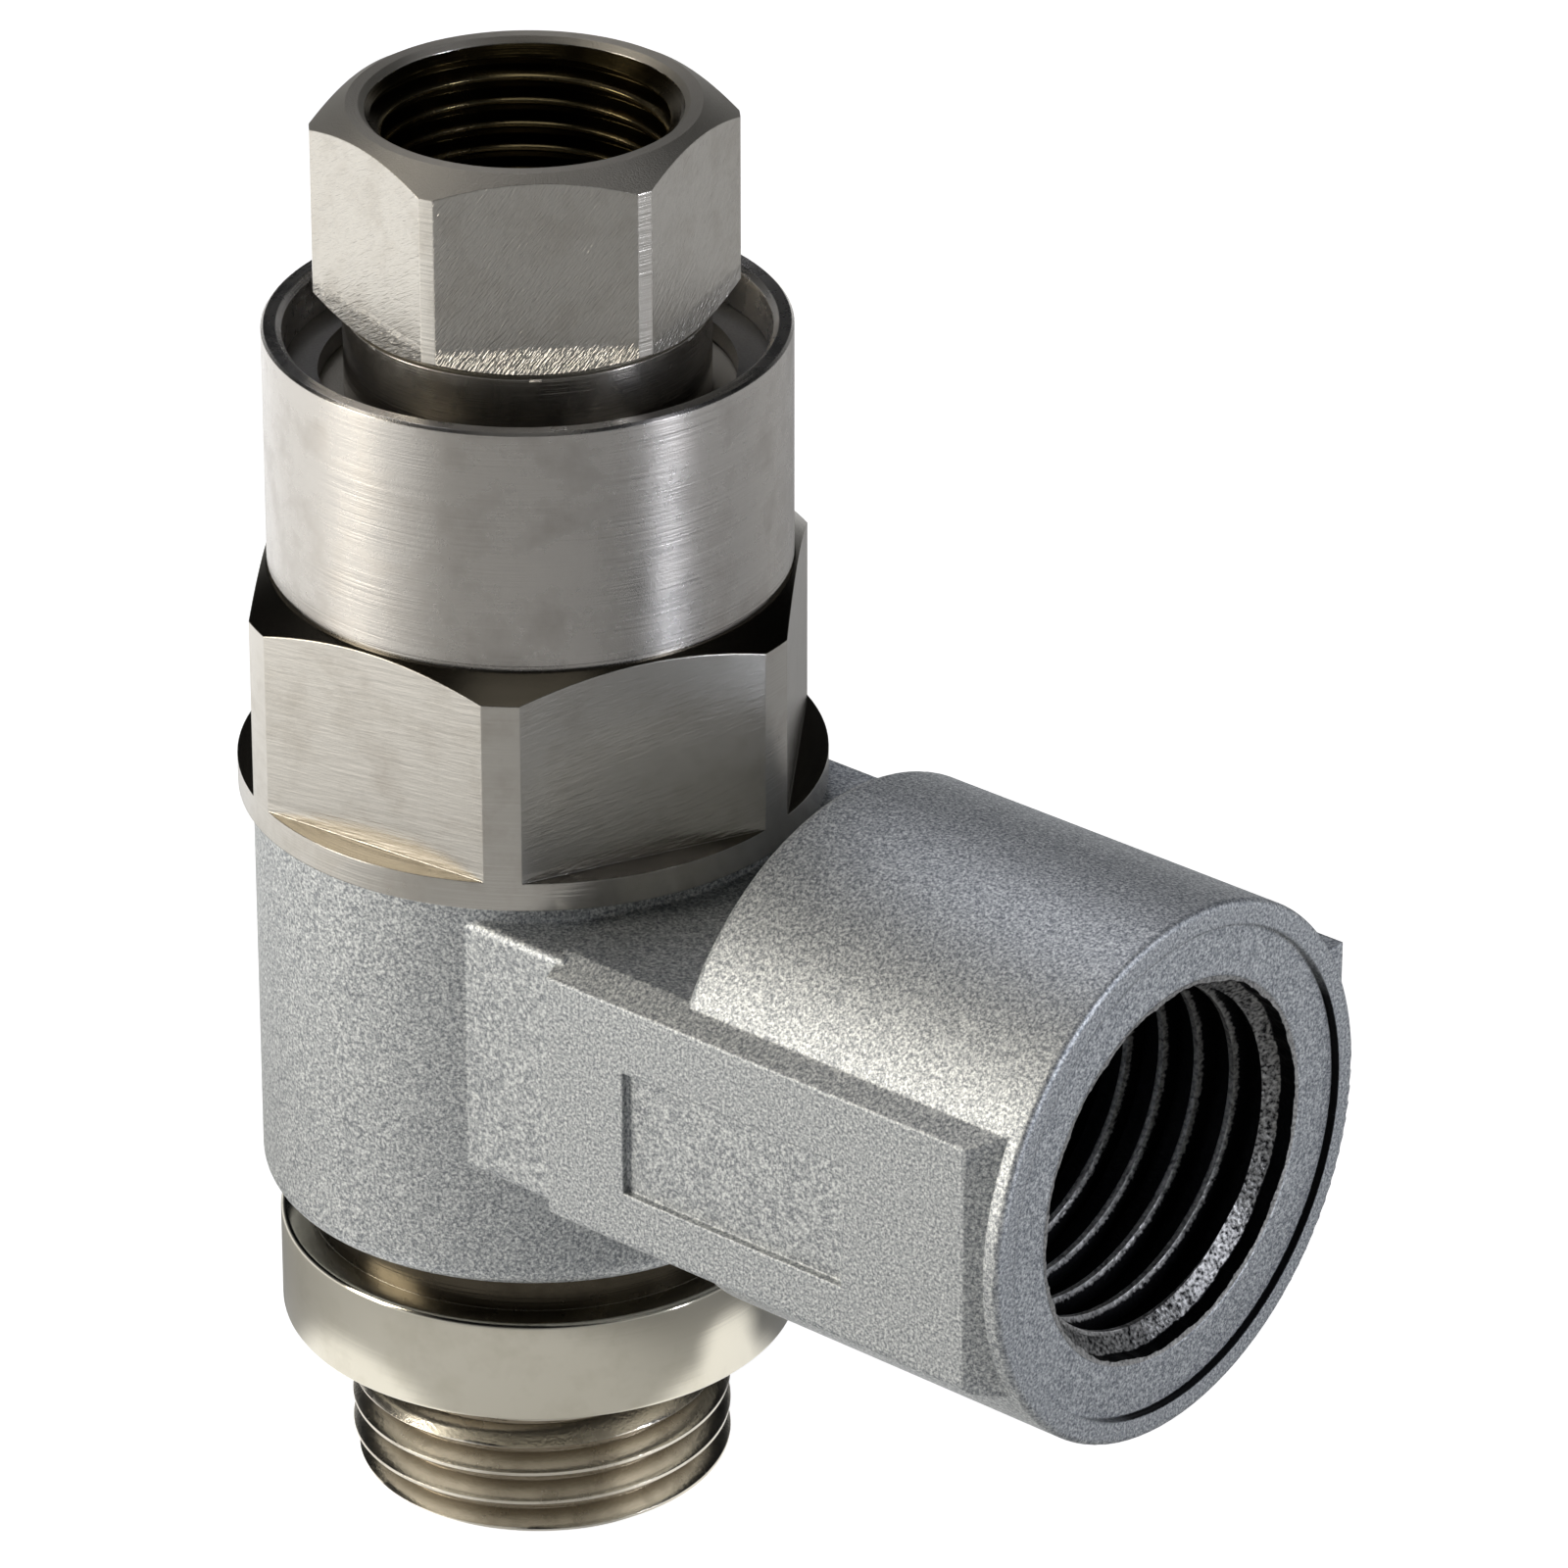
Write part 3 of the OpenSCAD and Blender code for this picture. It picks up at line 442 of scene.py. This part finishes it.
def paintMaterial(look, shadowLine):
    material, tree = newMaterial("paintedZinc")
    where = addNode(tree, "TexCoord").outputs["Object"]
    flakes = addNode(tree, "TexNoise", {"Scale": 1 / (look["flakeSize"] * mm), "Detail": 2.0,
                                        "Roughness": 0.8}, {"Vector": where}).outputs["Fac"]
    bright = addNode(tree, "MapRange", {"From Min": look["middle"], "From Max": look["brightFull"]},
                     {"Value": flakes})
    dark = addNode(tree, "MapRange", {"From Min": look["middle"], "From Max": look["shadeFull"]},
                   {"Value": flakes})
    lighter = addNode(tree, "Mix", {"data_type": "RGBA", 6: linear(look["colour"]),
                                    7: linear(look["flake"])}, {0: bright.outputs[0]})
    flecked = addNode(tree, "Mix", {"data_type": "RGBA", 7: linear(look["shade"])},
                      {0: dark.outputs[0], 6: lighter.outputs[2]})
    # the painted shadow line over the flecked paint
    colour = addNode(tree, "Mix", {"data_type": "RGBA", 7: linear(look["shadowLineColour"])},
                     {0: shadowLineMask(tree, shadowLine, where, flakes), 6: flecked.outputs[2]})
    pebbles = addNode(tree, "TexNoise", {"Scale": 1 / (look["pebble"] * mm), "Detail": 2.0},
                      {"Vector": where})
    soft = addNode(tree, "Bevel", {"samples": 6, "Radius": look["edge"] * mm})
    bump = addNode(tree, "Bump", {"Strength": 1.0, "Distance": look["pebbleDepth"] * mm},
                   {"Height": pebbles.outputs["Fac"], "Normal": soft.outputs[0]})
    paint = addNode(tree, "BsdfPrincipled", {"Metallic": look["metallic"], "Roughness": look["rough"]},
                    {"Base Color": colour.outputs[2], "Normal": bump.outputs[0]})
    addNode(tree, "OutputMaterial", {}, {"Surface": paint.outputs[0]})
    return material


# inside pieces: turned brass, drawn spring steel and nitrile rubber, each faintly grained
insideFinish = {
    "turnedBrass": {"colour": "#C9A765", "other": "#A98548", "metallic": 1.0, "rough": 0.27, "grain": 0.20},
    "springSteel": {"colour": "#9C9A96", "other": "#77746E", "metallic": 1.0, "rough": 0.33, "grain": 0.15},
    "nitrileRubber": {"colour": "#1D1D1F", "other": "#2B2B2D", "metallic": 0.0, "rough": 0.58, "grain": 0.30},
}
insideGrain = {"strength": 0.6, "depth": 0.006}


def insideMaterial(name, look):
    material, tree = newMaterial(name)
    where = addNode(tree, "TexCoord")
    grain = addNode(tree, "TexNoise", {"Scale": 1 / (look["grain"] * mm), "Detail": 3.0},
                    {"Vector": where.outputs["Object"]})
    colour = addNode(tree, "Mix", {"data_type": "RGBA", 6: linear(look["colour"]),
                                   7: linear(look["other"])}, {0: grain.outputs["Fac"]})
    bump = addNode(tree, "Bump", {"Strength": insideGrain["strength"], "Distance": insideGrain["depth"] * mm},
                   {"Height": grain.outputs["Fac"]})
    finish = addNode(tree, "BsdfPrincipled", {"Metallic": look["metallic"], "Roughness": look["rough"]},
                     {"Base Color": colour.outputs[2], "Normal": bump.outputs[0]})
    addNode(tree, "OutputMaterial", {}, {"Surface": finish.outputs[0]})
    return material


# machined zinc of the cut thread: the roots are painted near black as shade, and the crests show pale zinc
# where the grain and the crest's own weight add up to between "start" and "full"
cutThread = {
    # "root" is painted shade, for the thread's roots and the counterbore's wall
    "root": "#0B0B0E", "crest": "#C9C8C4", "rough": 0.42, "metallic": 0.8, "grain": 0.22,
    "grainDepth": 0.05, "grainWeight": 1.6, "start": 1.25, "full": 2.0,
}


def threadMaterial(name, look):
    material, tree = newMaterial(name)
    where = addNode(tree, "TexCoord")
    grain = addNode(tree, "TexNoise", {"Scale": 1 / (look["grain"] * mm), "Detail": 2.0},
                    {"Vector": where.outputs["Object"]})
    crest = addNode(tree, "Attribute", {"attribute_name": "crest"})
    amount = addNode(tree, "Math", {"operation": "MULTIPLY_ADD", 1: look["grainWeight"]},
                     {0: grain.outputs["Fac"], 2: crest.outputs["Fac"]})
    ramp = addNode(tree, "MapRange", {"From Min": look["start"], "From Max": look["full"]},
                   {"Value": amount.outputs[0]})
    colour = addNode(tree, "Mix", {"data_type": "RGBA", 6: linear(look["root"]), 7: linear(look["crest"])},
                     {0: ramp.outputs[0]})
    bump = addNode(tree, "Bump", {"Strength": 1.0, "Distance": look["grainDepth"] * mm},
                   {"Height": grain.outputs["Fac"]})
    finish = addNode(tree, "BsdfPrincipled", {"Metallic": look["metallic"], "Roughness": look["rough"]},
                     {"Base Color": colour.outputs[2], "Normal": bump.outputs[0]})
    addNode(tree, "OutputMaterial", {}, {"Surface": finish.outputs[0]})
    return material


finishes = {name: nickelMaterial(name, look) for name, look in nickelFinish.items()}
for flatName, flatLook in milledFlats.items():
    finishes[flatName] = nickelMaterial(flatName, nickelFinish[flatLook["base"]], flatLook)
finishes["paintedZinc"] = paintMaterial(zincPaint, portShadowLine)
for insideName, insideLook in insideFinish.items():
    finishes[insideName] = insideMaterial(insideName, insideLook)
finishes["cutZincThread"] = threadMaterial("cutZincThread", cutThread)
print("materials made:", len(finishes))

# the solids that each finish is for; the springs' copies further on take theirs along
finishNodes = {
    "paintedZinc": ["banjo_body"],
    "milledNickelLarge": ["hex_body"],
    "milledNickelSmall": ["pilot_connector"],
    "satinNickel": ["pilot_sleeve"],
    "springSteel": ["connector_circlip", "retainer_clip", "piston_rod", "piston_nut", "piston_spring",
                    "poppet_spring"],
    "turnedBrass": ["pilot_piston", "gland_washer", "check_poppet", "spring_retainer"],
    "nitrileRubber": ["port_face_seal", "lower_banjo_seal", "upper_banjo_seal", "stem_seal", "sleeve_seal",
                      "connector_seal", "piston_seal", "rod_seal", "poppet_seal"],
}
for finishName, nodeNames in finishNodes.items():
    for nodeName in nodeNames:
        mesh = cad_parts[nodeName].data
        mesh.materials.clear()
        mesh.materials.append(finishes[finishName])

# points closer than this are one, and edges sharper than these angles stay sharp on turned and wound pieces
weldDistance = 0.0005
turnedSharp = 38
woundSharp = 60


# welds points that lie on each other, and shades the mesh smooth but for its sharp edges
def weld(mesh, sharpAngle):
    shell = bmesh.new()
    shell.from_mesh(mesh)
    bmesh.ops.remove_doubles(shell, verts=shell.verts, dist=weldDistance * mm)
    shell.to_mesh(mesh)
    shell.free()
    mesh.shade_smooth()
    mesh.set_sharp_from_angle(angle=math.radians(sharpAngle))


# a closed surface from a grid of points: rows follow the section, columns go round, and both ways close;
# a thread's rows, from the first to the last, come back round that many rows further on
def ringMesh(name, points, finish, crest, thread):
    rows, columns = points.shape[:2]
    index = np.arange(rows * columns).reshape(rows, columns)
    right = np.roll(index, -1, 1)
    first, last, shift = thread
    right[first:last, -1] = index[np.clip(np.arange(first, last) + shift, first, last - 1), 0]
    quads = np.stack([index, right, np.roll(right, -1, 0), np.roll(index, -1, 0)], -1).reshape(-1, 4)
    mesh = bpy.data.meshes.new(name)
    mesh.from_pydata(points.reshape(-1, 3), [], quads)
    layer = mesh.attributes.new("crest", "FLOAT", "POINT")
    layer.data.foreach_set("value", crest.ravel().astype(np.float32))
    # rows that the clip has laid on each other become one, which closes the seam
    weld(mesh, turnedSharp)
    mesh.materials.append(finish)
    piece = bpy.data.objects.new(name, mesh)
    scene.collection.objects.link(piece)
    return piece


# a thread's section: height 1 on the crest, 0 in the root and straight flanks between; turns is the distance
# along the axis in pitches, less the share of a turn gone round
def threadHeight(turns, flat, flank):
    t = np.abs((turns % 1) - 0.5) * 2
    return np.clip((flat + flank - t) / flank, 0, 1)


# turns of rows before a thread's start and after its stop, which the clip lays on its ends
spareTurns = 1


# a thread's rows run from start to stop, one pitch a turn: where each point lies along the axis, clipped to
# the thread's length, how high it stands, and how many rows further on a turn comes back
def threadRows(look, start, stop, share):
    way = 1 if stop > start else -1
    count = (round(abs(stop - start) / look["pitch"]) + 2 * spareTurns) * look["steps"]
    turns = np.arange(count)[:, None] / look["steps"] - spareTurns
    along = np.clip(start + way * look["pitch"] * (turns + way * share), min(start, stop), max(start, stop))
    height = threadHeight((along - start) / look["pitch"] - share + look["phase"], look["crestFlat"],
                          look["flank"])
    return along, height, way * look["steps"]


# the stem's section is a thread between two plain stretches: the chamber with its clip groove inside, and
# the relief, the face seal's recess, the collar and the hub outside, up to the socket; its points are
# radius and height
threadedStem = {
    "threadRadius": 10.4775, "rootRadius": 9.32, "pitch": 1.814, "crestFlat": 0.14, "flank": 0.62,
    "end": -9.5, "chamferRadius": 10.13, "relief": -3.0, "reliefRadius": 9.3, "phase": 0.25,
    "crestFade": 0.7, "collarFrom": 12.45, "hubFrom": 6.01, "around": 256, "steps": 20,
    "inside": [(7.6, 3.3), (7.6, -8.0), (8.2, -8.0), (8.2, -8.8), (7.6, -8.8), (7.6, -9.35), (7.75, -9.5)],
    "outside": [(9.3, -2.92), (9.3, 1.54), (12.4, 1.54), (12.4, 0.1), (12.5, 0.0), (13.95, 0.0),
                (14.05, 0.02), (14.13, 0.07), (14.18, 0.15), (14.2, 0.25), (14.2, 5.7), (14.16, 5.85),
                (14.05, 5.96), (13.9, 6.0), (12.6, 6.0), (12.6, 8.4), (12.5, 8.5), (9.3, 8.5), (9.2, 8.4),
                (9.2, 3.3)],
}


# the threaded stem: its section turned round the axis, with the thread's rows climbing one pitch a turn
def makeThreadedStem(look):
    angles = np.linspace(0, 2 * np.pi, look["around"], endpoint=False)
    ones = np.ones((1, look["around"]))
    inside, outside = np.array(look["inside"]), np.array(look["outside"])
    z, height, shift = threadRows(look, look["end"], look["relief"], angles / (2 * np.pi))
    # the radius follows from the height, under the chamfer at the end and the run-out into the relief
    radius = look["rootRadius"] + (look["threadRadius"] - look["rootRadius"]) * height
    radius = np.minimum(radius, look["chamferRadius"] + (z - look["end"]))
    radius = np.minimum(radius, look["reliefRadius"] + (look["relief"] - z))
    # the crest mask: 1 on the crests, 0 in the roots, where the plate's colour gives way to painted shade
    crest = np.clip((radius - look["rootRadius"]) / look["crestFade"], 0, 1)
    allRadius = np.concatenate([inside[:, :1] * ones, radius, outside[:, :1] * ones])
    allHeight = np.concatenate([inside[:, 1:] * ones, z, outside[:, 1:] * ones])
    points = np.stack([allRadius * np.cos(angles), allRadius * np.sin(angles), allHeight], -1) * mm
    plain = [np.ones((len(side), look["around"])) for side in (inside, outside)]
    crests = np.concatenate([plain[0], crest, plain[1]])
    rows = (len(inside), len(inside) + len(z), shift)
    piece = ringMesh("threadedStem", points, finishes["threadNickel"], crests, rows)
    dressStem(piece.data, look)
    return piece


# the collar is polished, and the hub above it, between the collar and the eye, is a little rougher and
# painted dark as shade
def dressStem(mesh, look):
    mesh.materials.append(finishes["collarNickel"])
    mesh.materials.append(finishes["hubNickelShade"])
    middles = np.empty(len(mesh.polygons) * 3)
    mesh.polygons.foreach_get("center", middles)
    middles = middles.reshape(-1, 3) / mm
    outwards = np.hypot(middles[:, 0], middles[:, 1])
    aboveCollar = middles[:, 2] > look["hubFrom"]
    onCollar = (outwards > look["collarFrom"]) & ~aboveCollar
    onHub = (outwards > look["reliefRadius"]) & aboveCollar
    mesh.polygons.foreach_set("material_index", (onCollar + 2 * onHub).astype(np.int32))


stem = makeThreadedStem(threadedStem)
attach(stem, "stem")
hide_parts("threaded_stem")
print("threaded stem made")

# how far a liner's plain back goes past its thread
linerBack = 0.1

# liner of the side port: a ragged counterbore, a flat ledge and the cut thread, with a plain back in the wall
sidePortThread = {
    "axisHeight": 23.6, "hiddenRadius": 10.62, "mouth": 43.78, "mouthEdge": 0.04, "mouthDepth": 0.1,
    "wallRadius": 10.34, "raggedness": 0.13, "waves": ((1, 7.0), (2, 23.0), (3, 61.0)),
    "ledge": 42.85, "ledgeEdge": 0.05, "leadIn": 42.2, "leadInRadius": 9.55, "leadInSlope": 2,
    "crestRadius": 9.32, "rootRadius": 10.3, "pitch": 2.34, "crestFlat": 0.15, "flank": 0.30, "back": 29.25,
    "phase": 0.30, "crestBand": 0.42, "crestFade": 0.25, "conePale": 0.72, "coneBand": 0.02,
    "around": 320, "steps": 26,
}


def makeSidePortThread(look):
    angles = np.linspace(0, 2 * np.pi, look["around"], endpoint=False)
    ones = np.ones((1, look["around"]))
    # ragged edge: waves of unlike size and length, each bitten off on one side
    ragged = sum(np.abs(np.sin(n * angles + n)) / k for k, n in look["waves"])
    wall = look["wallRadius"] + look["raggedness"] * (ragged[None] - 1)
    outside = np.array([look["back"] - linerBack, look["mouth"] - look["mouthDepth"]])[:, None] * ones
    # from the mouth inwards: front edge, ragged wall, then the cone that leads into the thread
    fronts = [look["mouth"], look["mouth"] - look["mouthEdge"], look["mouth"] - look["mouthDepth"],
              look["ledge"] + look["ledgeEdge"], look["ledge"], look["ledge"] - look["ledgeEdge"]]
    coneRise = (look["wallRadius"] - look["leadInRadius"]) / (look["ledge"] - look["leadIn"])
    hidden = look["hiddenRadius"] * ones
    counterbore = [hidden, wall, wall, wall, wall, wall - look["ledgeEdge"] * coneRise]
    # thread rows go down from the cone, and their radius follows from the height that the clip leaves
    x, height, shift = threadRows(look, look["leadIn"], look["back"], angles / (2 * np.pi))
    radius = look["rootRadius"] - (look["rootRadius"] - look["crestRadius"]) * height
    radius = np.minimum(radius, look["leadInRadius"] + (look["leadIn"] - x) * look["leadInSlope"])
    crest = np.clip((look["crestRadius"] + look["crestBand"] - radius) / look["crestFade"], 0, 1)
    allRadius = np.concatenate([hidden, hidden, *counterbore, radius, look["crestRadius"] * ones])
    allAlong = np.concatenate([outside, np.array(fronts)[:, None] * ones, x,
                               (look["back"] - linerBack) * ones])
    points = np.stack([allAlong, allRadius * np.cos(angles),
                       look["axisHeight"] + allRadius * np.sin(angles)], -1)
    # the mouth takes the crests' pale zinc and the cone nearly so, and the wall between them gets the roots'
    # painted shade
    lit = np.array([0, 1, 1, 1, 0, 0, 0, look["conePale"]])[:, None] * ones
    onCone = x > look["leadIn"] - look["coneBand"]
    crests = np.concatenate([lit, np.where(onCone, look["conePale"], crest), 0 * ones])
    rows = (len(lit), len(lit) + len(x), shift)
    return ringMesh("sidePortThread", points * mm, finishes["cutZincThread"], crests, rows)


sidePortLiner = makeSidePortThread(sidePortThread)
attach(sidePortLiner, "banjo")

# liner of the pilot port: a lead-in cone and the cut thread, with a plain back in the wall
pilotPortThread = {
    "hiddenRadius": 8.5, "mouth": 70.98, "mouthRadius": 8.36, "mouthEdge": 0.05, "crestRadius": 7.475,
    "rootRadius": 8.3, "pitch": 1.337, "crestFlat": 0.16, "flank": 0.62, "back": 59.95, "phase": 0.1,
    "crestFade": 0.2, "around": 288, "steps": 20,
}


def makePilotPortThread(look):
    angles = np.linspace(0, 2 * np.pi, look["around"], endpoint=False)
    ones = np.ones((1, look["around"]))
    z, height, shift = threadRows(look, look["mouth"], look["back"], angles / (2 * np.pi))
    # inside the thread the cone cuts down from the mouth
    radius = look["rootRadius"] - (look["rootRadius"] - look["crestRadius"]) * height
    radius = np.maximum(radius, look["mouthRadius"] - (look["mouth"] - z))
    # the crest mask: 1 on the crests, 0 in the roots, where the plate's colour gives way to painted shade
    crest = np.clip((look["crestRadius"] + look["crestFade"] - radius) / look["crestFade"], 0, 1)
    back = (look["back"] - linerBack) * ones
    hidden = look["hiddenRadius"] * ones
    allRadius = np.concatenate([hidden, hidden, radius, look["crestRadius"] * ones])
    allHeight = np.concatenate([back, (look["mouth"] - look["mouthEdge"]) * ones, z, back])
    points = np.stack([allRadius * np.cos(angles), allRadius * np.sin(angles), allHeight], -1)
    crests = np.concatenate([0 * ones, ones, crest, 0 * ones])
    rows = (2, 2 + len(z), shift)
    return ringMesh("pilotPortThread", points * mm, finishes["pilotThreadNickel"], crests, rows)


pilotPortLiner = makePilotPortThread(pilotPortThread)
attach(pilotPortLiner, "connector")
print("port threads made")

# springs: welded copies of the wound wire, which take the wire's place on the stem
springs = {
    "pistonSpring": {"node": "piston_spring", "joint": "pilot_stroke"},
    "poppetSpring": {"node": "poppet_spring", "joint": "poppet_lift"},
}


def makeSpring(name, look):
    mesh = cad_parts[look["node"]].data.copy()
    mesh.name = name
    weld(mesh, woundSharp)
    spring = bpy.data.objects.new(name, mesh)
    scene.collection.objects.link(spring)
    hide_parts(look["node"])
    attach(spring, "stem")
    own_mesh(spring)


for springName, springLook in springs.items():
    makeSpring(springName, springLook)
print("springs made")
